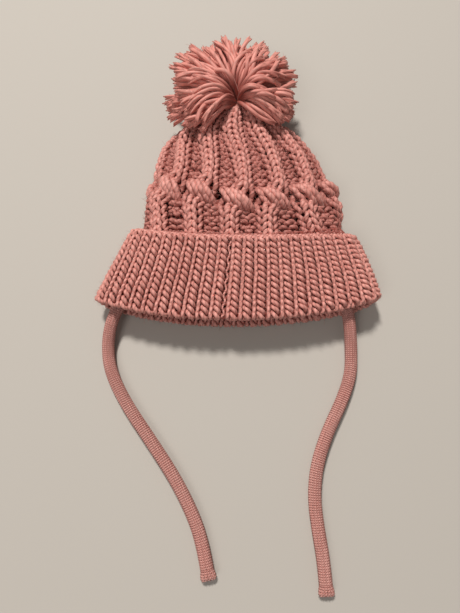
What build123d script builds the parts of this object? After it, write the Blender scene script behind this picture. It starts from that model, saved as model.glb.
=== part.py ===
"""Child's cable-knit pom pom beanie with two knitted ties, lying flat on its front.

Frame, in millimetres: X across the hat, +Y from the face opening to the pom-pom, +Z up.
The origin is under the middle of the hat, without its ties, on the surface it lies on.
The knitted layers are plain shells of the fabric's thickness. The hat's back faces up.
"""
from build123d import *
import math
import os

# Fabric thicknesses
CUFF_WALL = 5.0
BAND_WALL = 4.5
LAYER_GAP = 0.4
CROWN_WALL = 6.5
FOLD_DEPTH = 5.0

# Cross-sections of the lying hat: y, centre x, half width, underside z, fold top z, crest z.
# LOW lies just under the surface and is trimmed off flat.
LOW = -1.0
CUFF_STATIONS = [
    (-128, 0.0, 118.0, LOW, 29, 33),
    (-103, 0.0, 109.5, LOW, 30, 35),
    (-90, 3.0, 106.0, LOW, 31, 37),
    (-69, 3.8, 97.5, LOW, 32, 40),
    (-54, 3.4, 91.0, LOW, 33, 43),
    (-38, 3.4, 90.0, LOW, 33, 43),
]
CROWN_STATIONS = [
    (-59, 3.5, 83.5, 5.0, 26.5, 35.5),
    (-53, 3.7, 82.5, 5.0, 26.5, 35.8),
    (-47, 4.0, 81.8, 4.7, 26.8, 36.6),
    (-37, 4.0, 81.0, LOW, 30, 40.5),
    (-28, 3.4, 80.5, LOW, 32, 42.5),
    (-17, 2.7, 78.5, LOW, 32, 43),
    (-4, 2.5, 73.0, LOW, 31, 42.5),
    (14, 1.5, 67.0, LOW, 30, 41),
    (28, -1.0, 60.0, LOW, 28, 38.5),
    (35, -1.0, 52.0, 0.5, 27, 37.2),
    (40, -1.0, 43.0, 2.5, 27, 36.5),
    (44, -0.5, 32.0, 7.0, 28, 36.2),
    (47, 0.0, 18.0, 14.0, 30, 36),
]

# Curved edges of the cuff seen from above: left end, middle, right end
FACE_EDGE = [(-125, -96.6), (0, -123.7), (125, -96.6)]
UPPER_EDGE = [(-125, -38), (2, -59.5), (125, -43)]
CROWN_START = -59.1
SEAM_X = -9.6
SEAM_WIDTH = 2.0
SEAM_LOW = 22.0

# Gathered tip and pom-pom
TIP_Y = 47.0
TIP_Z = 25.0
TIP_HOLE_R = 5.0
GATHER_R = 7.2
YARN_R = 1.5
POMPOM_CENTRE = (-5.0, 88.0, 28.0)
POMPOM_HALF_WIDTH = 54.0
POMPOM_R = 35.7
BINDING_Y = 61.0
BINDING_Z = 32.0
BINDING_R = 6.0
KNOT_R = 4.5
KNOT_Y = 31.0

# Ties: knitted tubes, sewn in behind the cuff near its corners
CORD_D = 9.0
TIP_LENGTH = 6.0
TIP_HALF_WIDTH = 5.7
TIP_HALF_HEIGHT = 4.4
STITCH_R = 0.7
TIE_CLEARANCE_X = (74.0, 97.5)
TIE_CLEARANCE_Y = (-130.0, -84.0)
TIE_CLEARANCE_Z = (8.3, 21.2)
LEFT_ROUTE = [
    (-82, -93, 14.8),
    (-90, -106, 14.6),
    (-96.5, -120, 11.5),
    (-99.5, -137, 4.9),
    (-96, -156, 4.6),
    (-83.5, -179, 4.6),
    (-65, -204, 4.6),
    (-45.5, -231, 4.6),
    (-31.5, -256, 4.6),
    (-24.5, -275, 4.6),
    (-21.2, -291, 4.6),
]
RIGHT_ROUTE = [
    (82, -96, 14.8),
    (84, -110, 14.6),
    (86, -124, 11),
    (87.3, -140, 4.9),
    (86, -158, 4.6),
    (78, -178, 4.6),
    (66, -200, 4.6),
    (57, -223, 4.6),
    (54, -245, 4.6),
    (56.2, -267, 4.6),
    (58.8, -285, 4.6),
    (59.6, -300.5, 4.6),
]


def section(station, inset):
    """Flattened tube across the hat: flat below, round at both folds, domed on top."""
    y, cx, half, low, fold_top, crest = station
    low, fold_top, crest, half = low + inset, fold_top - inset, crest - inset, half - inset
    fold_r = (fold_top - low) / 2
    side = half - fold_r
    plane = Plane(origin=(cx, y, 0), x_dir=(1, 0, 0), z_dir=(0, -1, 0))
    outline = Wire(
        [
            Line((-side, low), (side, low)),
            ThreePointArc((side, low), (half, low + fold_r), (side, fold_top)),
            ThreePointArc((side, fold_top), (0, crest), (-side, fold_top)),
            ThreePointArc((-side, fold_top), (-half, low + fold_r), (-side, low)),
        ]
    )
    return plane * make_face(outline.edges())


def skin(stations, inset):
    """Solid through the stations, inset from their outlines."""
    return loft([section(s, inset) for s in stations], ruled=True)


def above_surface():
    """Everything over the surface the hat lies on."""
    return Pos(0, 0, 200) * Box(600, 900, 400)


def plan_region(lower, upper):
    """Space between two curved edges seen from above; each is three points of an arc."""
    low_arc, high_arc = ThreePointArc(*lower), ThreePointArc(*upper)
    ends = [Line(lower[2], upper[2]), Line(upper[0], lower[0])]
    face = make_face([low_arc, ends[0], high_arc, ends[1]])
    return Pos(0, 0, -20) * extrude(face, amount=100, dir=(0, 0, 1))


def shifted(edge, dy):
    return [(x, y + dy) for x, y in edge]


def straight_edge(y):
    """A level edge, bowed by a hair so that it is still an arc."""
    return [(-125, y), (0, y + 0.01), (125, y)]


def slab(x, low):
    """Thin upright slice through the upper layer, where a seam runs."""
    return Pos(x, 0, low + 50) * Box(SEAM_WIDTH, 400, 100)


def tie_clearance(route):
    """Room between the layers for a tie's sewn end and its swing."""
    low, high = TIE_CLEARANCE_Z
    near, far = TIE_CLEARANCE_X
    front, back = TIE_CLEARANCE_Y
    side = math.copysign((near + far) / 2, route[0][0])
    room = Box(far - near, back - front, high - low)
    return Pos(side, (front + back) / 2, (low + high) / 2) * room


def cuff_and_seam():
    opening = skin(CUFF_STATIONS, CUFF_WALL + LAYER_GAP + BAND_WALL)
    band_space = skin(CUFF_STATIONS, CUFF_WALL + LAYER_GAP)
    band_space &= plan_region(shifted(FACE_EDGE, FOLD_DEPTH), straight_edge(0))
    cuff = skin(CUFF_STATIONS, 0) & plan_region(FACE_EDGE, UPPER_EDGE)
    cuff = (cuff & above_surface()) - opening - band_space
    for route in (LEFT_ROUTE, RIGHT_ROUTE):
        cuff -= tie_clearance(route)
    seam_space = slab(SEAM_X, SEAM_LOW)
    return cuff - seam_space, cuff & seam_space


def inner_band():
    band = skin(CUFF_STATIONS, CUFF_WALL + LAYER_GAP)
    band -= skin(CUFF_STATIONS, CUFF_WALL + LAYER_GAP + BAND_WALL)
    band &= plan_region(shifted(FACE_EDGE, FOLD_DEPTH + LAYER_GAP), straight_edge(CROWN_START))
    for route in (LEFT_ROUTE, RIGHT_ROUTE):
        band -= tie_clearance(route)
    return band.solids().sort_by(SortBy.VOLUME)[-1]


def crown_and_seam():
    hollow = skin(CROWN_STATIONS[:-2], CROWN_WALL)
    crown = (skin(CROWN_STATIONS, 0) & above_surface()) - hollow
    crown -= along_y(TIP_HOLE_R, TIP_Y - 20, TIP_Y + 5)
    crown -= ring_about_y(YARN_R - 0.3)
    seam_space = slab(SEAM_X, SEAM_LOW) - Pos(0, 100, 0) * Box(300, 130, 300)
    return crown - seam_space, crown & seam_space


def along_y(radius, y_from, y_to):
    """Round bar on the line of the tip hole."""
    bar = Cylinder(radius, y_to - y_from)
    return Pos(0, (y_from + y_to) / 2, TIP_Z) * Rot(90, 0, 0) * bar


def ring_about_y(wire_r):
    """Drawstring ring in the gathered tip."""
    return Pos(0, TIP_Y - 2.5, TIP_Z) * Rot(90, 0, 0) * Torus(GATHER_R, wire_r)


def binding(wire_r):
    """Loop tied round the waist of the yarn bundle, which lies along X."""
    return Pos(0, BINDING_Y, BINDING_Z) * Rot(0, 90, 0) * Torus(BINDING_R, wire_r)


def pompom_halves():
    """Two clipped halves of the bundle, one each side of the binding's plane."""
    x, y, z = POMPOM_CENTRE
    curve = EllipticalCenterArc((0, 0), POMPOM_HALF_WIDTH, POMPOM_R, 0, arc_size=180)
    closing = Line((-POMPOM_HALF_WIDTH, 0), (POMPOM_HALF_WIDTH, 0))
    ball = Pos(x, y, z) * revolve(make_face([curve, closing]), axis=Axis.X)
    ball = (ball & above_surface()) - binding(YARN_R + 0.1)
    reach = 2 * POMPOM_HALF_WIDTH
    left = ball & Pos(-reach / 2, y, z) * Box(reach, reach, reach)
    return left, ball & Pos(reach / 2, y, z) * Box(reach, reach, reach)


def corner_radii(route):
    """Largest tangent arc that each corner's two runs leave room for."""
    points = [Vector(*p) for p in route]
    radii = []
    for a, b, c in zip(points, points[1:], points[2:]):
        turn = math.radians((b - a).get_angle(c - b))
        shorter = min((b - a).length, (c - b).length)
        radii.append(0.45 * shorter / math.tan(turn / 2))
    return radii


def tie(name, route):
    """Knitted tube along the route, its flared end, and the two loops that sew it in."""
    radii = corner_radii(route)
    line = FilletPolyline(*route, radius=radii)
    start = Plane(origin=line @ 0, z_dir=line % 0)
    end = Plane(origin=line @ 1, x_dir=(-(line % 1).Y, (line % 1).X, 0), z_dir=line % 1)
    cord = sweep(start * Circle(CORD_D / 2), path=line)
    tip = extrude(end * Ellipse(TIP_HALF_WIDTH, TIP_HALF_HEIGHT), amount=TIP_LENGTH)
    loops = [
        start * Pos(0, 0, step) * Torus(CORD_D / 2 + STITCH_R + 0.1, STITCH_R)
        for step in (1.5, 4.5)
    ]
    expected = math.pi * (CORD_D / 2) ** 2 * line.length
    print(name, "length", round(line.length, 1), "tube volume over section x length",
          round(cord.volume / expected, 4), "radii", [round(r) for r in radii])
    return {
        name + "_cord": cord,
        name + "_tip": tip,
        name + "_stitches": Compound(children=loops),
    }


def all_nodes():
    cuff, cuff_seam = cuff_and_seam()
    crown, crown_seam = crown_and_seam()
    left_half, right_half = pompom_halves()
    nodes = {
        "crown": crown,
        "crown_back_seam": crown_seam,
        "crown_gathering_yarn": ring_about_y(YARN_R - 0.4),
        "inner_rib_band": inner_band(),
        "turned_up_cuff": cuff,
        "cuff_back_seam": cuff_seam,
        "pompom_left_strands": left_half,
        "pompom_right_strands": right_half,
        "pompom_binding": binding(YARN_R),
        "pompom_fixing_yarn": along_y(YARN_R, KNOT_Y + KNOT_R, TIP_Y + 3.5),
        "pompom_anchor_knot": Pos(0, KNOT_Y, TIP_Z) * Sphere(KNOT_R),
    }
    nodes.update(tie("left_tie", LEFT_ROUTE))
    nodes.update(tie("right_tie", RIGHT_ROUTE))
    return nodes


os.makedirs("parts", exist_ok=True)
for node, shape in all_nodes().items():
    export_step(shape, f"parts/{node}.step")
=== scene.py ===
"""Child's cable-knit pom pom beanie, modelled stitch by stitch in yarn, lying flat on its front.

Sizes are in millimetres, in the frame's axes: +X across the hat, +Y to the pom-pom, +Z up.
Every fabric is a middle surface (a Skin) with its courses of looped yarn laid over it.
"""
import math

import bpy
import numpy as np
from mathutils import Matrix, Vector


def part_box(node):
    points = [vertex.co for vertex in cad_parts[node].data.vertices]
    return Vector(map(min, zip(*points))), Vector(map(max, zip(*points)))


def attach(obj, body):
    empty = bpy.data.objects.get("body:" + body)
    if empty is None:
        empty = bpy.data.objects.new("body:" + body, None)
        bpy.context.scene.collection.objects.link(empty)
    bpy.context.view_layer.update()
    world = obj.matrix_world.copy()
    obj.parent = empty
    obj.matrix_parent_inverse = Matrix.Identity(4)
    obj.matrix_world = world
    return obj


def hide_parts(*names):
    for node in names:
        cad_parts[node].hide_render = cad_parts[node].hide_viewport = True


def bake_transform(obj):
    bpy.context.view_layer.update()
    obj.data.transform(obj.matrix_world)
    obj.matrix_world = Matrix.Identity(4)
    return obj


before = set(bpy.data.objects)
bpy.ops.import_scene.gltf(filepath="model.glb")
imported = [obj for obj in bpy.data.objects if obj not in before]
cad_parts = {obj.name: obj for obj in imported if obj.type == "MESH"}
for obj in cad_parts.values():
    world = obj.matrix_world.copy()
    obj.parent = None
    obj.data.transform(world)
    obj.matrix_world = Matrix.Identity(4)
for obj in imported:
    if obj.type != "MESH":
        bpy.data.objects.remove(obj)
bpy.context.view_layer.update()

MM = 0.001
TURN = 2 * math.pi

# Camera, level with the ties' ends and looking a little forward of straight down
CAMERA_AT = (-5.5, -195.5, 355.0)
CAMERA_TILT = 14.5
CAMERA_LENS = 27.05

# Cross-sections of the lying hat: y, centre x, half width, underside z, fold top z, crest z
CUFF_STATIONS = [
    (-128, -1.0, 119.0, 0, 29, 33),
    (-103, 0.6, 111.2, 0, 30, 35),
    (-90, 1.8, 106.4, 0, 31, 37),
    (-69, 3.0, 98.0, 0, 32, 40),
    (-54, 3.2, 91.0, 0, 33, 43),
    (-42, 2.6, 82.0, 0, 31, 42),
]
CROWN_STATIONS = [
    (-64, 3.5, 83.5, 4.0, 27, 36),
    (-53, 3.7, 82.5, 3.0, 28, 37),
    (-40, 4.0, 81.5, 1.0, 31, 41),
    (-28, 3.4, 81.0, 0.0, 32, 43),
    (-17, 2.9, 78.0, 0.0, 32, 44),
    (-4, 2.7, 72.5, 0.0, 31, 44),
    (14, 1.5, 67.0, 0.0, 31, 43),
    (28, -1.0, 60.0, 0.0, 30, 42),
    (37, -1.5, 52.0, 1.0, 30, 42),
    (43, -1.0, 41.0, 4.0, 31, 42),
    (48, 0.0, 27.0, 9.0, 32, 42),
    (51, 0.5, 15.0, 17.0, 32, 40),
    (51, 0.5, 9.0, 21.0, 31, 37),
    (48, 0.5, 7.0, 22.0, 31, 35),
]
# Curved edges of the cuff seen from above: y in the middle, y at the left end, y at the right end
EDGE_REACH = 125.0
FACE_EDGE = (-123.7, -96.6, -96.6)
UPPER_EDGE = (-60.5, -42.0, -51.0)
CROWN_EDGE = (-63.0, -48.0, -48.0)

# Yarn and gauge
YARN_R = 1.52
LOOP_DEPTH = 1.7
LOOP_OVERHANG = 0.23
LOOP_RISE = 0.82
CUFF_DEPTH = 3.5
BAND_DEPTH = 8.0
RIB_ROW = 4.3
RIBS = 46
CROWN_DEPTH = 4.6
CROWN_ROW = 5.2
CABLES = 12
CABLE_WALES = 2
GUTTER_WALES = 2
CABLE_SHARE = 0.545
CROSS_ROW = 6.6
CROSS_ROWS = 4.9
CABLE_PHASE = 0.33
SEAM_X = -9.6
SEAM_ROOM = 0.0042
KNIT_FIBRES = 4500

# Unevenness of a rib stitch: its row, its place, its height in mm and its tone
RIB_SLACK = (0.05, 0.018, 0.16, 0.22)

# One knit and one purl stitch of the ribbing, seen from outside with the fold below: share of
# the pair's width, rows towards the fold, height and yarn radius in mm. The knit stitch has an
# upright left leg and a plump slanting right leg; the purl stitch hides in the trough.
RIB_PATH = [
    (0.09, -0.78, -1.4, 1.25), (0.12, -0.42, 0.7, 1.30), (0.14, 0.00, 1.5, 1.35), (0.15, 0.42, 0.7, 1.30),
    (0.22, 0.78, -1.2, 1.25), (0.48, 0.88, -1.9, 1.25), (0.75, 0.70, -1.1, 1.30), (0.80, 0.37, 0.8, 1.50),
    (0.62, 0.00, 2.2, 1.62), (0.45, -0.34, 0.8, 1.50), (0.42, -0.70, -1.2, 1.30), (0.60, -0.86, -2.6, 1.25),
    (0.80, -0.50, -3.6, 1.25), (0.83, 0.20, -3.8, 1.25), (0.87, 0.74, -2.6, 1.25), (0.93, 0.84, -2.2, 1.25),
    (0.99, 0.70, -2.8, 1.25), (1.02, 0.15, -3.8, 1.25), (1.04, -0.50, -3.4, 1.25),
]

# Ties
TIE_WIDTH = 9.0
TIE_WALES = 14
TIE_ROW = 1.62
TIE_YARN_R = 0.43
LEFT_ROUTE = [
    (-82, -93, 14.8),
    (-90, -106, 14.6),
    (-96.5, -120, 11.5),
    (-99.5, -137, 4.9),
    (-96, -156, 4.6),
    (-83.5, -179, 4.6),
    (-65, -204, 4.6),
    (-45.5, -231, 4.6),
    (-31.5, -256, 4.6),
    (-24.5, -275, 4.6),
    (-21.2, -291, 4.6),
]
RIGHT_ROUTE = [
    (82, -96, 14.8),
    (84, -110, 14.6),
    (86, -124, 11),
    (87.3, -140, 4.9),
    (86, -158, 4.6),
    (78, -178, 4.6),
    (66, -200, 4.6),
    (57, -223, 4.6),
    (54, -245, 4.6),
    (56.2, -267, 4.6),
    (58.8, -285, 4.6),
    (59.6, -300.5, 4.6),
]

# Pom-pom
BALL_CENTRE = np.array((-5.0, 70.5, 29.0))
BALL_REACH = np.array((55.5, 48.5, 29.0))
BINDING_AT = np.array((0.0, 56.0, 36.0))
STRANDS = 720
STRAND_R = 1.6
STRAND_POINTS = 18
TUFTS = 80
PLIES = 3
PLY_POINTS = 5
POMPOM_FIBRES = 2800
OFF_AXIS = (0.13, 0.31, 0.94)  # a direction that strands don't run along

# Painted shade: a colour that multiplies the yarn's own deep between the stitches, where shade falls
HOLLOW_SHADE = (0.44, 0.22, 0.19, 1)

chance = np.random.default_rng(11)


# ---------------------------------------------------------------- camera

def make_camera():
    """Looks down on the hat from above the ties' ends."""
    data = bpy.data.cameras.new("camera")
    data.lens = CAMERA_LENS
    data.sensor_width = 36.0
    camera = bpy.data.objects.new("camera", data)
    camera.location = [c * MM for c in CAMERA_AT]
    camera.rotation_euler = (math.radians(CAMERA_TILT), 0, 0)
    bpy.context.scene.collection.objects.link(camera)
    bpy.context.scene.camera = camera


# ---------------------------------------------------------------- shapes in numpy

def smooth(x, low, high):
    """0 below `low`, 1 above `high`, and an S curve between them."""
    t = np.clip((x - low) / (high - low), 0, 1)
    return t * t * (3 - 2 * t)


def unit(vectors):
    """The vectors at a length of 1."""
    return vectors / np.maximum(np.linalg.norm(vectors, axis=-1, keepdims=True), 1e-9)


def through(stations, count):
    """Smooth curve through the stations' sizes, as `count` rows from the first to the last."""
    table = np.array(stations, float)
    slope = np.gradient(table, axis=0)
    at = np.linspace(0, len(table) - 1, count)
    i = np.minimum(at.astype(int), len(table) - 2)
    t = (at - i)[:, None]
    a, b = table[i], table[i + 1]
    return (
        a * (2 * t**3 - 3 * t**2 + 1) + slope[i] * (t**3 - 2 * t**2 + t)
        + b * (3 * t**2 - 2 * t**3) + slope[i + 1] * (t**3 - t**2)
    )


def outline(sizes, u, inset):
    """Points of the flattened tube. u is 0 and 1 at the bottom middle and a half at the top middle."""
    y, cx, half, low, fold_top, crest = np.moveaxis(sizes[..., None], -2, 0)
    low, fold_top, crest, half = low + inset, fold_top - inset, crest - inset, half - inset
    fold_r = (fold_top - low) / 2
    side = half - fold_r
    rise = crest - fold_top
    dome_r = (side**2 + rise**2) / (2 * rise)
    dome = dome_r * 2 * np.arctan(rise / side)
    total = dome + math.pi * fold_r + side
    way = np.abs(2 * u - 1) * total
    on_dome = np.minimum(way, dome) / dome_r
    on_fold = np.clip(way - dome, 0, math.pi * fold_r) / fold_r
    under = np.maximum(way - dome - math.pi * fold_r, 0)
    x = dome_r * np.sin(on_dome) + fold_r * np.sin(on_fold) - under
    z = crest - dome_r * (1 - np.cos(on_dome)) - fold_r * (1 - np.cos(on_fold))
    x = cx + np.sign(2 * u - 1) * x
    return np.stack([x, y + 0 * x, z], -1)


def edge_y(edge, x):
    """Height in y of a curved edge at x."""
    middle, left, right = edge
    end = np.where(x < 0, left, right)
    return middle + (end - middle) * np.minimum(np.abs(x) / EDGE_REACH, 1) ** 2


def even_columns(points, count):
    """The same columns of points, each cut into `count` even steps along its own length."""
    step = np.linalg.norm(np.diff(points, axis=0), axis=2)
    way = np.vstack([np.zeros(points.shape[1]), np.cumsum(step, axis=0)])
    out = np.empty((count, points.shape[1], 3))
    for column in range(points.shape[1]):
        at = np.linspace(0, way[-1, column], count)
        for axis in range(3):
            out[:, column, axis] = np.interp(at, way[:, column], points[:, column, axis])
    return out


def soften_round(points, passes):
    """The points, averaged with their neighbours round the tube."""
    for _ in range(passes):
        points = (np.roll(points, 1, 1) + 2 * points + np.roll(points, -1, 1)) / 4
    return points


class Skin:
    """A fabric's middle surface, over u (0 to 1 round it) and v (0 to 1 along its wales)."""

    def __init__(self, points, facing=1.0):
        self.points = points
        across = np.roll(points, -1, 1) - np.roll(points, 1, 1)
        up = np.gradient(points, axis=0)
        self.normals = facing * unit(np.cross(across, up))

    def blend(self, grid, u, v):
        rows, columns = grid.shape[:2]
        at_v = np.clip(v, 0, 1) * (rows - 1)
        at_u = (u % 1.0) * columns
        i = np.minimum(at_v.astype(int), rows - 2)
        j = at_u.astype(int) % columns
        k = (j + 1) % columns
        s = (at_v - i)[..., None]
        t = (at_u - np.floor(at_u))[..., None]
        near = grid[i, j] * (1 - t) + grid[i, k] * t
        far = grid[i + 1, j] * (1 - t) + grid[i + 1, k] * t
        return near * (1 - s) + far * s

    def at(self, u, v, lift):
        """Points `lift` mm outside the surface, and the surface's normals there."""
        normals = unit(self.blend(self.normals, u, v))
        return self.blend(self.points, u, v) + normals * lift[..., None], normals


ROUND = (np.arange(400) + 0.5) / 400


def cuff_skin():
    """From the cuff's upper edge down its outside, round the fold and up inside to the crown."""
    def at_y(y, inset):
        sizes = through(CUFF_STATIONS, 200)
        table = np.stack([np.interp(y, sizes[:, 0], sizes[:, k]) for k in range(6)], -1)
        rows = [outline(table[:, column], ROUND[column:column + 1], inset)[:, 0]
                for column in range(len(ROUND))]
        return np.stack(rows, 1)

    middle = at_y(np.full((1, len(ROUND)), -85.0), CUFF_DEPTH)[0, :, 0]
    fold_r = (BAND_DEPTH - CUFF_DEPTH) / 2
    face = edge_y(FACE_EDGE, middle) + CUFF_DEPTH + fold_r
    upper = edge_y(UPPER_EDGE, middle)
    crown = edge_y(CROWN_EDGE, middle) + 6
    down = np.linspace(0, 1, 40)[:, None]
    outer = at_y(upper + (face - upper) * down, CUFF_DEPTH)
    inner = at_y(face + (crown - face) * down, BAND_DEPTH)
    forward = unit(outer[-1] - outer[-3])
    across = unit(inner[0] - outer[-1])
    bend = np.linspace(0, math.pi, 12)[1:-1, None, None]
    middle_line = (inner[0] + outer[-1]) / 2
    half = np.linalg.norm(inner[0] - outer[-1], axis=-1, keepdims=True) / 2
    arc = middle_line + half * (forward * np.sin(bend) - across * np.cos(bend))
    points = np.concatenate([outer, arc, inner])
    outer_length = np.linalg.norm(np.diff(outer, axis=0), axis=2).sum(0).mean()
    total = np.linalg.norm(np.diff(points, axis=0), axis=2).sum(0).mean()
    skin = Skin(soften_round(even_columns(points, 120), 3), facing=-1.0)
    skin.cuff_share = (outer_length + math.pi * fold_r * 0.9) / total
    skin.length = total
    return skin


def crown_skin():
    """From inside the cuff up to the gathered tip."""
    sizes = through(CROWN_STATIONS, 240)
    points = np.stack([outline(sizes, u, CROWN_DEPTH)[:, 0] for u in ROUND[:, None]], 1)
    start = edge_y(CROWN_EDGE, points[40, :, 0])
    columns = []
    for column, y in enumerate(start):
        first = int(np.argmax(points[:, column, 1] > y))
        line = points[first:, column]
        pick = np.linspace(0, len(line) - 1, 240)
        columns.append(np.stack([np.interp(pick, np.arange(len(line)), line[:, a])
                                 for a in range(3)], -1))
    points = soften_round(even_columns(np.stack(columns, 1), 130), 4)
    return Skin(points)


# ---------------------------------------------------------------- yarn

def loops(count, samples):
    """A run of knit loops: q across in stitches, sway of the legs past each other, rise in rows,
    and swing from back (-1) to front (1)."""
    t = np.linspace(-math.pi, math.pi * (2 * count - 1), count * samples + 1)
    sway = np.sin(2 * t)
    q = (t + math.pi) / TURN + LOOP_OVERHANG * sway
    return q, sway, LOOP_RISE * np.cos(t), -np.cos(2 * t)


def wander(rows, count, points, size):
    """Slow uneven tension along each course: a new value at each of `count` stitches."""
    knots = chance.normal(0, size, (rows, count + 1))
    at = np.linspace(0, count, points)
    i = np.minimum(at.astype(int), count - 1)
    t = at - i
    return knots[:, i] * (1 - t) + knots[:, i + 1] * t


def repeated(path, repeats, samples):
    """Smooth line through the path's points, repeated side by side; its first column moves on by 1."""
    once = np.array(path, float)
    points = np.concatenate([once + np.array((k, 0, 0, 0)) for k in range(-1, repeats + 1)])
    slope = (points[2:] - points[:-2]) / 2
    at = len(once) + np.arange(repeats * len(once) * samples + 1) / samples
    i = at.astype(int)
    t = (at - i)[:, None]
    return (
        points[i] * (2 * t**3 - 3 * t**2 + 1) + slope[i - 1] * (t**3 - 2 * t**2 + t)
        + points[i + 1] * (3 * t**2 - 2 * t**3) + slope[i] * (t**3 - t**2)
    ).T


class Yarn:
    """Gathers swept tubes of yarn and turns them into one mesh."""

    def __init__(self, sides=6):
        self.sides = sides
        self.points, self.marks, self.tones, self.painted_shades = [], [], [], []
        self.quads, self.caps = [], []
        self.used = 0

    def sweep(self, centres, facing, radius, tone=None, painted_shade=0.0, flat=1.0, ring=False):
        """Tubes along `centres` (runs, points, 3); `facing`, one or many, is never along a run.
        Painted shade, 1 deep between the stitches, darkens the colour there for the shade that the
        neighbouring yarn casts."""
        runs, count = centres.shape[:2]
        if ring:
            tangents = unit(np.roll(centres, -1, 1) - np.roll(centres, 1, 1))
        else:
            tangents = unit(np.gradient(centres, axis=1))
        side = unit(np.cross(tangents, facing))
        up = np.cross(side, tangents)
        turn = np.arange(self.sides) * TURN / self.sides
        radius = np.broadcast_to(np.asarray(radius, float), (runs, count))[..., None, None]
        spoke = np.cos(turn)[:, None] * side[:, :, None] + flat * np.sin(turn)[:, None] * up[:, :, None]
        points = centres[:, :, None] + radius * spoke
        step = np.linalg.norm(np.diff(centres, axis=1, prepend=centres[:, :1]), axis=2)
        way = np.cumsum(step, axis=1)[:, :, None] + 0 * turn
        marks = np.stack([np.cos(turn) + 0 * way, np.sin(turn) + 0 * way, way], -1)
        if tone is None:
            tone = chance.uniform(0, 1, (runs, 1))
        tones = np.broadcast_to(np.asarray(tone, float), (runs, count))[..., None] + 0 * way
        painted_shades = np.broadcast_to(np.asarray(painted_shade, float), (runs, count))[..., None] + 0 * way
        index = self.used + np.arange(points[..., 0].size).reshape(runs, count, self.sides)
        ahead = np.roll(index, -1, 1) if ring else index[:, 1:]
        here = index if ring else index[:, :-1]
        quads = np.stack([here, np.roll(here, -1, 2), np.roll(ahead, -1, 2), ahead], -1)
        self.quads.append(quads.reshape(-1, 4))
        if not ring:
            self.caps.append(index[:, 0, ::-1])
            self.caps.append(index[:, -1])
        self.points.append(points.reshape(-1, 3))
        self.marks.append(marks.reshape(-1, 3))
        self.tones.append(tones.reshape(-1))
        self.painted_shades.append(painted_shades.reshape(-1))
        self.used += points[..., 0].size

    def build(self, name, material, slot):
        """The piece, in metres, with the yarn's own coordinates kept for its material."""
        mesh = bpy.data.meshes.new(name)
        points = np.concatenate(self.points) * MM
        quads = np.concatenate(self.quads)
        caps = np.concatenate(self.caps) if self.caps else np.empty((0, self.sides), int)
        corners = np.concatenate([quads.ravel(), caps.ravel()])
        starts = np.concatenate([
            np.arange(len(quads)) * 4,
            len(quads) * 4 + np.arange(len(caps)) * self.sides,
        ])
        mesh.vertices.add(len(points))
        mesh.vertices.foreach_set("co", points.astype(np.float32).ravel())
        mesh.loops.add(len(corners))
        mesh.loops.foreach_set("vertex_index", corners.astype(np.int32))
        mesh.polygons.add(len(starts))
        mesh.polygons.foreach_set("loop_start", starts.astype(np.int32))
        mesh.update(calc_edges=True)
        mesh.shade_smooth()
        # Kept for the material: the yarn's own coordinates, its tone, and its painted shade
        for label, kind, field, values in (
            ("yarn", "FLOAT_VECTOR", "vector", np.concatenate(self.marks)),
            ("tone", "FLOAT", "value", np.concatenate(self.tones)),
            ("painted_shade", "FLOAT", "value", np.concatenate(self.painted_shades)),
        ):
            layer = mesh.attributes.new(label, kind, "POINT")
            layer.data.foreach_set(field, values.astype(np.float32).ravel())
        mesh.materials.append(material)
        piece = bpy.data.objects.new(name, mesh)
        bpy.context.scene.collection.objects.link(piece)
        return piece


def stand_in(piece, node, body):
    """Shows the piece in place of a CAD node, moving with its body."""
    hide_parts(node)
    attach(piece, body)


# ---------------------------------------------------------------- materials

class Nodes:
    """Short spelling for building a node tree."""

    def __init__(self, name):
        self.material = bpy.data.materials.new(name)
        self.material.use_nodes = True
        self.tree = self.material.node_tree
        self.shader = self.tree.nodes["Principled BSDF"]

    def add(self, kind, inputs=(), **settings):
        node = self.tree.nodes.new(kind)
        for key, value in settings.items():
            setattr(node, key, value)
        for key, value in dict(inputs).items():
            if isinstance(value, bpy.types.NodeSocket):
                self.tree.links.new(value, node.inputs[key])
            else:
                node.inputs[key].default_value = value
        return node

    def math(self, operation, *values):
        return self.add("ShaderNodeMath", dict(enumerate(values)), operation=operation).outputs[0]

    def mix(self, factor, a, b, blend="MIX"):
        node = self.add("ShaderNodeMix", {0: factor, 6: a, 7: b}, data_type="RGBA", blend_type=blend)
        return node.outputs[2]

    def link(self, source, target):
        self.tree.links.new(source, self.shader.inputs[target])


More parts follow.
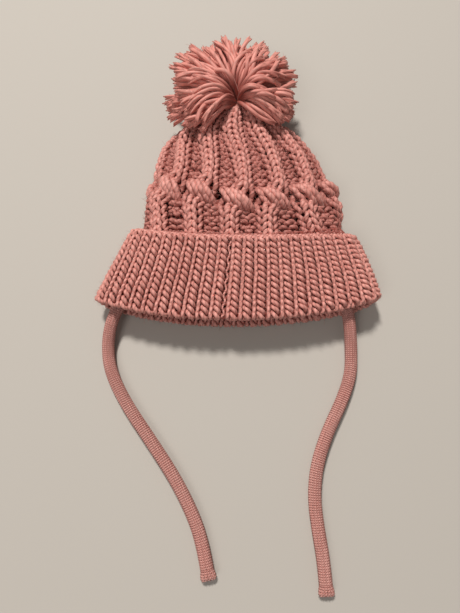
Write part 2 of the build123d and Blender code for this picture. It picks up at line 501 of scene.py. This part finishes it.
def yarn_material(name, light, dark, plies, lay_mm, ply_bump):
    """Spun yarn: plies twisted at `lay_mm` per turn, fine fibres along them, uneven dye, and painted shade
    in the grooves between the plies and deep between the stitches.
    """
    n = Nodes(name)
    speck_scale = 1 / (0.35 * MM * 4)
    mark = n.add("ShaderNodeAttribute", attribute_name="yarn").outputs["Vector"]
    mark = n.add("ShaderNodeSeparateXYZ", {0: mark})
    tone = n.add("ShaderNodeAttribute", attribute_name="tone").outputs["Fac"]
    angle = n.math("ARCTAN2", mark.outputs[1], mark.outputs[0])
    turned = n.math("ADD", angle, n.math("MULTIPLY", mark.outputs[2], TURN / lay_mm))
    ply = n.math("ABSOLUTE", n.math("SINE", n.math("MULTIPLY", turned, plies / 2)))
    ply = n.math("POWER", ply, 0.6)
    fibre_at = n.add("ShaderNodeCombineXYZ", {
        0: n.math("COSINE", turned),
        1: n.math("SINE", turned),
        2: n.math("MULTIPLY", mark.outputs[2], 0.12),
    }).outputs[0]
    fibre = n.add("ShaderNodeTexNoise", {
        "Vector": fibre_at, "Scale": 7.0, "Detail": 3.0, "Roughness": 0.6,
    }).outputs[0]
    place = n.add("ShaderNodeTexCoord").outputs["Object"]
    patch = n.add("ShaderNodeTexNoise", {"Vector": place, "Scale": 45.0, "Detail": 2.0}).outputs[0]
    speck = n.add("ShaderNodeTexNoise", {"Vector": place, "Scale": speck_scale, "Detail": 2.0}).outputs[0]
    shade = n.math("MULTIPLY_ADD", fibre, 0.55, n.math("MULTIPLY_ADD", patch, 0.5, -0.25))
    shade = n.math("MULTIPLY_ADD", speck, 0.25, n.math("SUBTRACT", shade, 0.1))
    shade = n.math("MULTIPLY_ADD", tone, 0.22, shade)
    colour = n.mix(n.add("ShaderNodeClamp", {0: shade}).outputs[0], dark, light)
    # Painted shade in the grooves between the plies
    groove = n.math("MULTIPLY_ADD", n.math("SUBTRACT", 1.0, ply), -0.35, 1.0)
    groove = n.add("ShaderNodeCombineXYZ", {0: groove, 1: groove, 2: groove}).outputs[0]
    colour = n.mix(1.0, colour, groove, "MULTIPLY")
    # Painted shade: the colour multiplied by HOLLOW_SHADE deep between the stitches
    painted_shade = n.add("ShaderNodeAttribute", attribute_name="painted_shade").outputs["Fac"]
    colour = n.mix(painted_shade, colour, n.mix(1.0, colour, HOLLOW_SHADE, "MULTIPLY"))
    n.link(colour, "Base Color")
    n.link(n.math("MULTIPLY_ADD", fibre, 0.3, 0.45), "Roughness")
    height = n.math("MULTIPLY_ADD", ply, ply_bump, n.math("MULTIPLY", fibre, 0.18))
    bump = n.add("ShaderNodeBump", {"Strength": 0.8, "Distance": 0.4 * MM, "Height": height})
    n.link(bump.outputs[0], "Normal")
    n.shader.inputs["Sheen Weight"].default_value = 0.35
    n.shader.inputs["Sheen Roughness"].default_value = 0.4
    n.shader.inputs["Sheen Tint"].default_value = (1.0, 0.62, 0.55, 1)
    n.shader.inputs["Specular IOR Level"].default_value = 0.5
    return n.material


HAT_YARN = yarn_material(
    "hat_yarn", light=(0.93, 0.46, 0.39, 1), dark=(0.54, 0.18, 0.145, 1), plies=3, lay_mm=9.0, ply_bump=0.9,
)
POMPOM_YARN = yarn_material(
    "pompom_yarn", light=(0.88, 0.39, 0.32, 1), dark=(0.54, 0.165, 0.13, 1), plies=2, lay_mm=22.0,
    ply_bump=0.35,
)
TIE_YARN = yarn_material(
    "tie_yarn", light=(1.0, 0.68, 0.61, 1), dark=(0.84, 0.42, 0.36, 1), plies=2, lay_mm=3.0, ply_bump=0.3,
)
SEWING_YARN = yarn_material(
    "sewing_yarn", light=(0.62, 0.25, 0.2, 1), dark=(0.42, 0.14, 0.11, 1), plies=2, lay_mm=5.0, ply_bump=0.6,
)


# ---------------------------------------------------------------- ties

def route_points(name, route):
    """Close-set points of the smooth line that a tie follows, in mm."""
    curve = bpy.data.curves.new(name, "CURVE")
    curve.dimensions = "3D"
    spline = curve.splines.new("NURBS")
    spline.points.add(len(route) - 1)
    for point, place in zip(spline.points, route):
        point.co = (*[c * MM for c in place], 1)
    spline.order_u = 3
    spline.use_endpoint_u = True
    spline.resolution_u = 24
    line = bpy.data.objects.new(name, curve)
    mesh = bpy.data.meshes.new_from_object(line)
    points = np.array([v.co for v in mesh.vertices]) / MM
    bpy.data.objects.remove(line)
    bpy.data.curves.remove(curve)
    bpy.data.meshes.remove(mesh)
    return points


def even_line(points, count):
    """The line cut into even steps, and its length."""
    step = np.linalg.norm(np.diff(points, axis=0), axis=1)
    way = np.concatenate([[0], np.cumsum(step)])
    at = np.linspace(0, way[-1], count)
    return np.stack([np.interp(at, way, points[:, a]) for a in range(3)], -1), way[-1]


def tube_skin(line, half_width, half_height):
    """Skin round a line that stays near level: u is 0 and 1 below it and a half on top."""
    tangents = unit(np.gradient(line, axis=0))
    side = unit(np.cross(tangents, (0, 0, 1)))
    up = np.cross(side, tangents)
    turn = (TURN * ROUND[::10] - math.pi / 2)[None, :, None]
    sideways = np.reshape(half_width, (-1, 1, 1)) * np.cos(turn) * side[:, None]
    upwards = np.reshape(half_height, (-1, 1, 1)) * np.sin(turn) * up[:, None]
    return Skin(line[:, None] + sideways + upwards)


def tie_rows(yarn, skin, rows):
    """Plain fine knitting round a tie."""
    samples = 8
    q, _, rise, swing = loops(TIE_WALES, samples)
    row = np.arange(rows)[:, None] + 0.5
    v = (row + rise) / rows
    u = (q + 0 * row) / TIE_WALES
    centres, normals = skin.at(u, v, 0.5 * swing + 0 * row)
    tone = np.repeat(chance.uniform(0, 1, (len(row), TIE_WALES)), samples, axis=1)
    tone = np.concatenate([tone, tone[:, :1]], axis=1)
    # Painted shade: darker where the loops pass behind
    yarn.sweep(centres, normals, TIE_YARN_R, tone=tone, painted_shade=smooth(-swing, -0.2, 1.0))


def make_tie(side, route):
    """Knitted tie, its flared end and the loops that sew it in behind the cuff."""
    body = side + "_tie"
    path = route_points(side + "_route", route)
    line, length = even_line(path, 260)
    shell = TIE_WIDTH / 2 - 0.75
    rows = round(length / TIE_ROW)
    yarn = Yarn(sides=4)
    tie_rows(yarn, tube_skin(line, shell + 0.25, shell - 0.25), rows)
    # A dark core fills the knitted tube: painted shade for its inside, at the darkest tone and full shade
    yarn.sweep(line[None], (0, 0, 1.0), shell - 0.6, tone=-1.0, painted_shade=1.0)
    cord = yarn.build(side + "_tie_knit", TIE_YARN, "tie_knit")
    tip = tie_tip(side, line)
    stitches = tie_stitches(side, line)
    stand_in(cord, side + "_tie_cord", body)
    stand_in(tip, side + "_tie_tip", body)
    stand_in(stitches, side + "_tie_stitches", body)


def tie_tip(side, line):
    """The cast-off end: a few wider courses drawn together across the tube."""
    ahead = unit(line[-1] - line[-3])
    along = np.linspace(-0.5, 6.2, 30)
    end = line[-1] + along[:, None] * ahead
    flare = np.interp(along, (0, 2.5, 5.0, 6.2), (3.9, 4.6, 5.0, 4.4))
    flat = np.interp(along, (0, 2.5, 5.0, 6.2), (3.5, 3.4, 2.9, 1.2))
    yarn = Yarn(sides=4)
    skin = tube_skin(end, flare, flat)
    tie_rows(yarn, skin, 4)
    u = np.linspace(0, 1, 4 * TIE_WALES + 1)[None, :-1]
    rim, normals = skin.at(u, np.full(u.shape, 0.97), np.tile((0.1, 0.5), 2 * TIE_WALES)[None])
    yarn.sweep(rim, normals, TIE_YARN_R * 1.1, ring=True)
    core = slice(None, -3)
    # A dark core fills the flared end: painted shade for its inside, at the darkest tone and full shade
    yarn.sweep(end[None, core], (0, 0, 1.0), flare[None, core] * 0.86, flat=0.62, tone=-1.0, painted_shade=1.0)
    return yarn.build(side + "_tie_end", TIE_YARN, "tie_knit")


def tie_stitches(side, line):
    """Two overcast loops round the tie's sewn end."""
    yarn = Yarn(sides=6)
    turn = np.linspace(0, TURN, 33)[:-1]
    for at in (4, 9):
        ahead = unit(line[at + 1] - line[at - 1])
        across = unit(np.cross(ahead, (0, 0, 1)))
        up = np.cross(across, ahead)
        slant = 1.2 * np.sin(turn)[:, None] * ahead
        loop = line[at] + slant + 5.2 * (np.cos(turn)[:, None] * across + np.sin(turn)[:, None] * up)
        yarn.sweep(loop[None], ahead, 0.7, ring=True)
    return yarn.build(side + "_tie_sewing", SEWING_YARN, "sewing_yarn")


# ---------------------------------------------------------------- ribbed cuff and band

def pressed(normals):
    """Relief that is left where the fabric lies face down on the floor."""
    return 0.35 + 0.65 * smooth(normals[..., 2], -0.3, 0.75)


def rib_courses(yarn, skin, span, rows, first_pair, pairs, samples, relief):
    """Courses `span` (first, last) of ribbing, over `pairs` knit and purl pairs."""
    share, rise, height, radius = repeated(RIB_PATH, pairs, samples)
    row = np.arange(*span)[:, None] + 0.5
    row_slack, place_slack, height_slack, tone_slack = [
        wander(len(row), pairs * 2, len(share), size) for size in RIB_SLACK
    ]
    v = (row + rise + row_slack) / rows
    u = (first_pair + share + place_slack) / RIBS
    u = u + SEAM_ROOM * np.sign(u - skin.seam) * np.exp(-np.abs(u - skin.seam) / (3 * SEAM_ROOM))
    ground, normals = skin.at(u, v, 0 * u)
    lift = (height * relief + height_slack) * pressed(normals)
    centres = ground + normals * lift[..., None]
    # Painted shade: darker where the yarn lies low in the ribbing's troughs
    yarn.sweep(centres, normals, radius, tone=0.5 + tone_slack, painted_shade=smooth(-height, -1.3, 2.2))


def make_cuff():
    """The ribbing: the cuff outside, the band behind it, their seam, edge and loose fibres."""
    skin = cuff_skin()
    rows = round(skin.length / RIB_ROW)
    fold_row = round(rows * skin.cuff_share)
    skin.seam = (round(seam_u(skin, skin.cuff_share / 2) * RIBS - 0.93) + 0.93) / RIBS
    edges = np.linspace(0, RIBS, 5).astype(int)
    for part, (first, last) in enumerate(zip(edges, edges[1:])):
        yarn = Yarn(sides=6)
        rib_courses(yarn, skin, (0, fold_row), rows, first, last - first, samples=2, relief=1.0)
        piece = yarn.build(f"turned_up_cuff_knit_{part + 1}", HAT_YARN, "rib_knit")
        stand_in(piece, "turned_up_cuff", "hat")
    for part in range(2):
        yarn = Yarn(sides=5)
        first = part * (RIBS // 2)
        rib_courses(yarn, skin, (fold_row, rows), rows, first, RIBS // 2, samples=1, relief=0.6)
        piece = yarn.build(f"inner_rib_band_knit_{part + 1}", HAT_YARN, "rib_knit")
        stand_in(piece, "inner_rib_band", "hat")
    make_cast_on_edge(skin)
    seam = seam_stitches(skin, skin.seam, (0.01, skin.cuff_share), fold_row, lift=-1.5, reach=0.75)
    stand_in(seam.build("cuff_seam_yarn", HAT_YARN, "sewing_yarn"), "cuff_back_seam", "hat")
    knit_fibres(skin, "cuff_fibres", "turned_up_cuff", "rib_knit", (0.005, skin.cuff_share), lift=0.9)


def make_cast_on_edge(skin):
    """The cast-on edge: two strands twisted into a cord along the cuff's upper rim."""
    u = np.linspace(0, 1, RIBS * 14 + 1)[None, :-1]
    rim, normals = skin.at(u, 0 * u, 0 * u)
    inside, _ = skin.at(u, 0 * u + 0.02, 0 * u)
    away = unit(rim - inside)
    yarn = Yarn(sides=6)
    for start in (0, math.pi):
        turn = (u * RIBS * 1.5 * TURN + start)[..., None]
        line = rim + 0.95 * (np.cos(turn) * normals + np.sin(turn) * away) - 0.3 * normals
        yarn.sweep(line, away, 1.25, ring=True)
    piece = yarn.build("cuff_cast_on_edge", HAT_YARN, "rib_knit")
    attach(piece, "hat")


def seam_u(skin, v):
    """Where round the skin the back seam runs."""
    row = skin.points[round(v * (len(skin.points) - 1))]
    top = (ROUND > 0.35) & (ROUND < 0.65)
    return float(np.interp(SEAM_X, row[top, 0], ROUND[top]))


def seam_stitches(skin, u, span, stitches, lift, reach):
    """Ladder of short sewn bars drawn tight along a seam."""
    at = np.linspace(0, 1, stitches * 8 + 1)
    v = span[0] + (span[1] - span[0]) * at
    side = np.sin(at * stitches * math.pi)
    width = reach / np.linalg.norm(np.diff(skin.points[30], axis=0), axis=1).sum()
    centres, normals = skin.at((u + width * side)[None], v[None], (lift + 0.5 * np.abs(side))[None])
    yarn = Yarn(sides=6)
    yarn.sweep(centres, normals, 0.85)
    return yarn


# ---------------------------------------------------------------- cabled crown

def gutter_share(row):
    """A purl gutter's share of its repeat: it narrows towards the tip as its stitches decrease."""
    return (1 - CABLE_SHARE) * (1 - 0.8 * smooth(row, 10, 19))


def crossing(repeat, row):
    """How far the wales have changed sides, 0 to 1, and how far one lies over the other."""
    cross_row = CROSS_ROW + 1.2 * (1 - smooth((repeat + 0.5) / CABLES, 0.34, 0.46))
    crossed = np.clip((row - cross_row) / CROSS_ROWS + 0.5, 0, 1)
    crossed = 0.5 * crossed + 0.5 * crossed**2 * (3 - 2 * crossed)
    return crossed, np.sin(math.pi * crossed)


def cable_place(repeat, knit, across, row):
    """Places a cable's wales (knit) or a gutter's, which change sides at the crossing.
    The gutter's wales pass over the cable's, drawn out into one slanting strand; across is -1 to 1."""
    gutter = gutter_share(row)
    cable = 1 - gutter
    crossed, over = crossing(repeat, row)
    swell = np.cos(np.clip(across, -1, 1) * math.pi / 2)
    if knit:
        middle = cable / 2 + gutter * crossed
        half = cable / 2 * (0.98 + 0.92 * over)
        lift = 4.9 * swell - 1.8 - 5.2 * over**2
        face = 1.0
    else:
        middle = cable + gutter / 2 - cable * crossed
        half = gutter / 2 * (1.08 + 0.34 * over)
        lift = -3.2 + (6.6 * over**2 + 0.3) * swell + 1.9 * over
        face = -1 + 2 * smooth(over, 0.1, 0.6)
    wales = CABLE_WALES if knit else GUTTER_WALES
    ends = np.clip((1 - np.abs(across)) * wales * 2.2, 0, 1)
    u = (repeat + CABLE_PHASE + middle + across * half) / CABLES
    radius = YARN_R * (1 + 0.34 * over)
    return u, lift, face * ends, radius


def lean_right(u, row):
    """Below the crossing the wales lean out towards the right-hand fold."""
    right = smooth(u, 0.47, 0.73) ** 2 * (1 - smooth(u, 0.76, 0.98))
    return (0.006 + 0.08 * right) * (1 - smooth(row, -2, CROSS_ROW + 1))


def crown_courses(yarn, skin, rows, repeats):
    """Courses of some repeats, each a cable and its purl gutter, up to the tip."""
    for repeat in repeats:
        for knit in (True, False):
            wales = CABLE_WALES if knit else GUTTER_WALES
            uneven = 1.0 if knit else 2.0
            q, sway, rise, swing = loops(wales, 14)
            row = np.arange(rows if knit else rows - 4)[:, None] + 0.5
            slack = wander(len(row), wales, len(q), 0.08 * uneven)
            at_row = row + rise + slack
            over = crossing(repeat, at_row)[1]
            at_row = at_row + 0.2 * rise * over
            lean = 0.55 * LOOP_OVERHANG * over * sway
            across = 2 * (q - lean + 0.5 * slack) / wales - 1
            u, lift, face, radius = cable_place(repeat, knit, across, at_row)
            u = u + lean_right(u, at_row)
            ground, normals = skin.at(u, at_row / rows, 0 * u)
            height = lift + face * swing * LOOP_DEPTH + wander(len(row), wales, len(q), 0.25 * uneven)
            centres = ground + normals * (height * pressed(normals))[..., None]
            tone = 0.5 + wander(len(row), wales, len(q), 0.22)
            # Painted shade: darker where the yarn lies low in the gutters, where loops pass behind, and
            # towards the sides of each cable and gutter away from the crossing
            shade = 0.5 * smooth(-lift, -1.8, 3.2) + 0.75 * smooth(-face * swing, -0.6, 0.9)
            shade = shade + 0.4 * smooth(np.abs(across), 0.6, 1.0) * (1 - over)
            radius = radius * (1 + 0.14 * face * swing)
            yarn.sweep(centres, normals, radius, tone=tone, painted_shade=np.minimum(shade, 1))


def knit_fibres(skin, name, node, slot, span, lift):
    """Fine fibres that stand out of the knit between `span` (first, last) of the skin's length."""
    u = chance.uniform(0, 1, (KNIT_FIBRES, 1))
    root, normals = skin.at(u, chance.uniform(*span, u.shape), 0 * u + lift)
    away = unit(normals + chance.normal(0, 0.9, root.shape))
    curl = chance.normal(0, 0.45, root.shape)
    t = np.linspace(0, 1, 5)[None, :, None]
    line = root + chance.uniform(1.5, 4.2, (KNIT_FIBRES, 1, 1)) * (away * t + curl * t**2)
    facing = unit(np.cross(away, chance.normal(0, 1, away.shape)))
    low, high = (np.array(corner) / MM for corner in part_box(node))
    clear = ((line > low - 0.3) & (line < high + 0.5) & (line[..., 2:] > 0.4)).all((1, 2))
    yarn = Yarn(sides=3)
    yarn.sweep(line[clear], facing[clear], 0.11 * (1 - 0.6 * t[..., 0]))
    piece = yarn.build(name, HAT_YARN, slot)
    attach(piece, "hat")


def make_crown():
    """The cabled body in four parts, its seam, the yarn that gathers its tip, and loose fibres."""
    skin = crown_skin()
    length = np.linalg.norm(np.diff(skin.points[:, 200], axis=0), axis=1).sum()
    rows = round(length / CROWN_ROW)
    for part in range(4):
        yarn = Yarn(sides=6)
        crown_courses(yarn, skin, rows, range(part * 3, part * 3 + 3))
        piece = yarn.build(f"crown_knit_{part + 1}", HAT_YARN, "cable_knit")
        stand_in(piece, "crown", "hat")
    seam = seam_stitches(skin, seam_u(skin, 0.4), (0.04, 0.86), rows, lift=-4.2, reach=1.3)
    stand_in(seam.build("crown_seam_yarn", SEWING_YARN, "sewing_yarn"), "crown_back_seam", "hat")
    make_gathering(skin)
    knit_fibres(skin, "crown_fibres", "crown", "cable_knit", (0.1, 0.94), lift=1.0)


def make_gathering(skin):
    """The yarn end run through the last stitches to draw the tip shut."""
    u = np.linspace(0, 1, 12 * CABLES + 1)[None, :-1]
    line, normals = skin.at(u, 0 * u + 0.955, 1.1 * np.sin(u * TURN * CABLES) - 2.0)
    yarn = Yarn(sides=6)
    yarn.sweep(line, normals, 1.0, ring=True)
    piece = yarn.build("gathering_yarn", SEWING_YARN, "sewing_yarn")
    stand_in(piece, "crown_gathering_yarn", "hat")


# ---------------------------------------------------------------- pom-pom

def bezier(a, b, c, d, count):
    """One curve per row of a, b, c and d, as `count` points."""
    t = np.linspace(0, 1, count)[None, :, None]
    a, b, c, d = (p[:, None] for p in (a, b, c, d))
    return (1 - t)**3 * a + 3 * (1 - t)**2 * t * b + 3 * (1 - t) * t**2 * c + t**3 * d


def clipped_rim(out):
    """How far the clipped ball reaches from the binding along each level direction."""
    corner = 1 - np.cos(4 * np.arctan2(out[:, 1], out[:, 0]))
    start = (BINDING_AT[:2] - BALL_CENTRE[:2]) / BALL_REACH[:2]
    step = out / BALL_REACH[:2]
    a, b, c = (step**2).sum(1), (step * start).sum(1), (start**2).sum() - 1
    return (np.sqrt(b * b - a * c) - b) / a * (1 + 0.03 * corner)


def pompom_strands():
    """Cut yarn: each strand rises out of the binding and lies outwards over the ball to its end."""
    index = np.arange(STRANDS) + 0.5
    place = np.stack([
        index * math.pi * (3 - math.sqrt(5)) % TURN, -0.86 + 1.74 * index / STRANDS,
    ], 1) + chance.normal(0, (0.1, 0.07), (STRANDS, 2))
    tufts = np.stack([chance.uniform(0, TURN, TUFTS), chance.uniform(-0.85, 0.9, TUFTS)], 1)
    apart = place[:, None] - tufts[None]
    apart[..., 0] = (apart[..., 0] + math.pi) % TURN - math.pi
    nearest = np.argmin(apart[..., 0]**2 + 1.6 * apart[..., 1]**2, axis=1)
    place -= chance.uniform(0.1, 0.55, (STRANDS, 1)) * apart[np.arange(STRANDS), nearest]
    height = np.clip(place[:, 1], -0.93, 0.9)
    out = np.stack([np.cos(place[:, 0]), np.sin(place[:, 0])], 1)
    rim = clipped_rim(out)
    short = chance.uniform(0, 1, STRANDS) < 0.25
    share = np.where(short, chance.uniform(0.62, 0.9, STRANDS), chance.uniform(0.9, 1.03, STRANDS))
    reach = rim * (1 - height**2) ** 0.33 * share
    level = BALL_CENTRE[2]
    rise = BALL_REACH[2]

    def at(share, z):
        return np.column_stack([BINDING_AT[:2] + out * (share * reach)[:, None], z])

    end_z = level + rise * 0.92 * height
    root = at(0.03, BINDING_AT[2] + 4 * height) + chance.normal(0, 1.2, (STRANDS, 3))
    b = at(0.22, level + rise * (0.42 + 0.72 * height))
    c = at(0.68, end_z + rise * 0.3)
    centres = bezier(root, b, c, at(1.0, end_z), STRAND_POINTS)
    along = np.linspace(0, 1, STRAND_POINTS)[None, :, None]
    side = np.column_stack([-out[:, 1], out[:, 0], 0 * rim])[:, None]
    bow, hook, bob = chance.normal(0, 1, (3, STRANDS, 1, 1))
    drift = chance.normal(0, 1, (TUFTS, 1, 1))[nearest]
    centres = centres + side * (3.4 * bow * np.sin(math.pi * along) + (4.0 * hook + 5.0 * drift) * along**2)
    centres[..., 2:] += 2.0 * bob * np.sin(math.pi * 1.5 * along)
    x, y = centres[..., 0], centres[..., 1]
    shelf = (46.5 - 0.0045 * x**2) * (1 - smooth(y, 46, 56))
    centres[..., 2] = np.maximum(centres[..., 2], np.maximum(shelf, STRAND_R + 0.5))
    tip = (centres[:, -1, :2] - BALL_CENTRE[:2]) / BALL_REACH[:2]
    past = (np.abs(tip) ** 2.5).sum(1) ** 0.4
    trim = np.minimum(1, chance.uniform(0.93, 1.0, STRANDS) / past)[:, None, None]
    centres = centres[:, :1] + (centres - centres[:, :1]) * trim
    end = centres[:, -1]
    near = end[:, 1] < 50
    keep = ~(near & (np.abs(end[:, 0] - 1) < 27)) & ~((end[:, 1] < 57) & (height < -0.2))
    return centres[keep]


def part_plies(centres, radius):
    """The plies that part at each clipped end; they start inside their strand."""
    tail = centres[:, -PLY_POINTS:]
    along = unit(tail[:, -1:] - tail[:, :1])
    side = unit(np.cross(along, OFF_AXIS))
    up = np.cross(side, along)
    part = np.linspace(0, 1, PLY_POINTS)[None, :, None]
    start = chance.uniform(0, TURN, (len(centres), 1, 1))
    for ply in range(PLIES):
        angle = start + TURN * ply / PLIES
        reach = 0.45 + chance.uniform(0.1, 0.75, (len(centres), 1, 1)) * part**2
        further = chance.uniform(-1.2, 1.0, (len(centres), 1, 1)) * part
        yield tail + radius * reach * (np.cos(angle) * side + np.sin(angle) * up) + further * along


def loose_fibres(yarn, centres, count, length, radius):
    """Fine fibres that leave the outer half of the strands and curl away from them."""
    strand = chance.integers(0, len(centres), count)
    point = chance.integers(centres.shape[1] // 2, centres.shape[1] - 1, count)
    root = centres[strand, point]
    away = unit(unit(centres[strand, point + 1] - root) + chance.normal(0, 0.55, (count, 3)))
    curl = chance.normal(0, 0.3, (count, 3))
    t = np.linspace(0, 1, 5)[None, :, None]
    long = chance.uniform(0.6, 1.2, (count, 1, 1)) * length
    line = root[:, None] + long * (away[:, None] * t + curl[:, None] * t**2)
    facing = unit(np.cross(away, chance.normal(0, 1, (count, 3))))[:, None]
    yarn.sweep(line, facing, radius * (1 - 0.6 * t[..., 0]))


def bend_with_pompom(piece):
    """Bakes the piece's placement into its mesh."""
    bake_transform(piece)


def make_pompom():
    """The cut yarn in its two halves, their loose fibres, and what ties them to the hat."""
    centres = pompom_strands()
    chord = centres[:, -1] - centres[:, 0]
    facing = unit(np.cross(np.cross(chord, OFF_AXIS), chord))[:, None]
    along = np.linspace(0, 1, centres.shape[1])
    thick = np.interp(along, (0, 0.15, 0.8, 0.94, 1), (0.7, 0.95, 1.05, 0.85, 0.35))
    radius = STRAND_R * chance.uniform(0.82, 1.15, (len(centres), 1)) * thick
    tone = chance.normal(0.5, 0.6, (len(centres), 1))
    plies = list(part_plies(centres, STRAND_R))
    ply_radius = STRAND_R * np.array((0.5, 0.56, 0.56, 0.5, 0.28))
    left = centres[:, -1, 0] <= BINDING_AT[0]
    # Painted shade: the strands darken towards their roots, deep inside the ball
    painted_shade = 1 - smooth(along, 0.15, 0.5)
    for name, node, pick in (
        ("pompom_left_yarn", "pompom_left_strands", left),
        ("pompom_right_yarn", "pompom_right_strands", ~left),
    ):
        yarn = Yarn(sides=7)
        yarn.sweep(centres[pick], facing[pick], radius[pick], tone=tone[pick], painted_shade=painted_shade)
        for ply in plies:
            yarn.sweep(ply[pick], facing[pick], ply_radius, tone=tone[pick])
        piece = yarn.build(name, POMPOM_YARN, "pompom_yarn")
        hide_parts(node)
        bend_with_pompom(piece)
    fibres = Yarn(sides=3)
    loose_fibres(fibres, centres, POMPOM_FIBRES, length=4.0, radius=0.14)
    bend_with_pompom(fibres.build("pompom_fibres", POMPOM_YARN, "pompom_yarn"))
    make_binding()
    make_fixing()


def make_binding():
    """Yarn wound three times round the bundle's waist."""
    low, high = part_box("pompom_binding")
    middle = (np.array(low) + np.array(high)) / 2 / MM
    turn = np.linspace(0, 3 * TURN, 97)
    radius = (high[1] - low[1]) / 2 / MM - 1.3
    line = middle + np.column_stack([turn / TURN - 1.5, radius * np.cos(turn), radius * np.sin(turn)])
    yarn = Yarn(sides=6)
    yarn.sweep(line[None], (1.0, 0, 0), 0.9)
    stand_in(yarn.build("binding_yarn", POMPOM_YARN, "pompom_yarn"), "pompom_binding", "pompom")


def make_fixing():
    """Two twisted ends that pass through the tip, and the knot that holds them inside the crown."""
    low, high = (np.array(c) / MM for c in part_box("pompom_fixing_yarn"))
    y = np.linspace(low[1] - 2, high[1], 60)
    middle = (low + high) / 2
    yarn = Yarn(sides=6)
    for start in (0, math.pi):
        turn = y * TURN / 7.0 + start
        line = np.column_stack([middle[0] + 0.7 * np.cos(turn), y, middle[2] + 0.7 * np.sin(turn)])
        yarn.sweep(line[None], (1.0, 0, 0), 0.75)
    fixing = yarn.build("fixing_yarn", POMPOM_YARN, "pompom_yarn")
    low, high = (np.array(c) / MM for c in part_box("pompom_anchor_knot"))
    turn = np.linspace(0, TURN, 97)[:-1]
    size = (high[0] - low[0]) / 2 - 1.2
    trefoil = np.column_stack([
        np.sin(turn) + 2 * np.sin(2 * turn), -np.sin(3 * turn) * 1.6, np.cos(turn) - 2 * np.cos(2 * turn),
    ])
    yarn = Yarn(sides=6)
    line = (low + high)[None, None] / 2 + size / 3 * trefoil[None]
    yarn.sweep(line, unit(trefoil + 0.01)[None], 1.15, ring=True)
    knot = yarn.build("anchor_knot", POMPOM_YARN, "pompom_yarn")
    stand_in(fixing, "pompom_fixing_yarn", "pompom_tie")
    stand_in(knot, "pompom_anchor_knot", "pompom_tie")


# ---------------------------------------------------------------- floor and light

def make_stage():
    """A plain pale floor."""
    data = bpy.data.meshes.new("floor")
    reach = 3.0
    corners = [(-reach, -reach, 0), (reach, -reach, 0), (reach, reach, 0), (-reach, reach, 0)]
    data.from_pydata(corners, [], [(0, 1, 2, 3)])
    floor = bpy.data.objects.new("floor", data)
    bpy.context.scene.collection.objects.link(floor)
    n = Nodes("floor")
    n.shader.inputs["Base Color"].default_value = (0.47, 0.435, 0.39, 1)
    n.shader.inputs["Roughness"].default_value = 0.75
    data.materials.append(n.material)


def area_light(name, at, toward, size, power, colour):
    """A round soft light; places and size are in metres."""
    data = bpy.data.lights.new(name, "AREA")
    data.shape = "DISK"
    data.size = size
    data.energy = power
    data.color = colour
    light = bpy.data.objects.new(name, data)
    light.location = at
    aim = np.array(toward) - np.array(at)
    light.rotation_euler = (
        math.acos(-aim[2] / np.linalg.norm(aim)), 0, math.atan2(-aim[0], aim[1]),
    )
    bpy.context.scene.collection.objects.link(light)


def make_light():
    """A key light beyond the pom-pom, a weak fill on the ties' side, and a warm surround."""
    area_light("key", at=(-0.5, 1.6, 2.6), toward=(0, 0, 0), size=0.5, power=100.0, colour=(1.0, 0.97, 0.93))
    area_light("fill", at=(-0.7, -1.0, 1.6), toward=(0, -0.05, 0), size=1.0, power=8.0,
               colour=(1.0, 0.97, 0.95))
    world = bpy.data.worlds.new("world")
    world.use_nodes = True
    world.node_tree.nodes["Background"].inputs[0].default_value = (1.0, 0.96, 0.93, 1)
    world.node_tree.nodes["Background"].inputs[1].default_value = 0.2
    bpy.context.scene.world = world
    bpy.context.scene.view_settings.view_transform = "Standard"


make_camera()
make_tie("left", LEFT_ROUTE)
make_tie("right", RIGHT_ROUTE)
make_cuff()
make_crown()
make_pompom()
make_stage()
make_light()
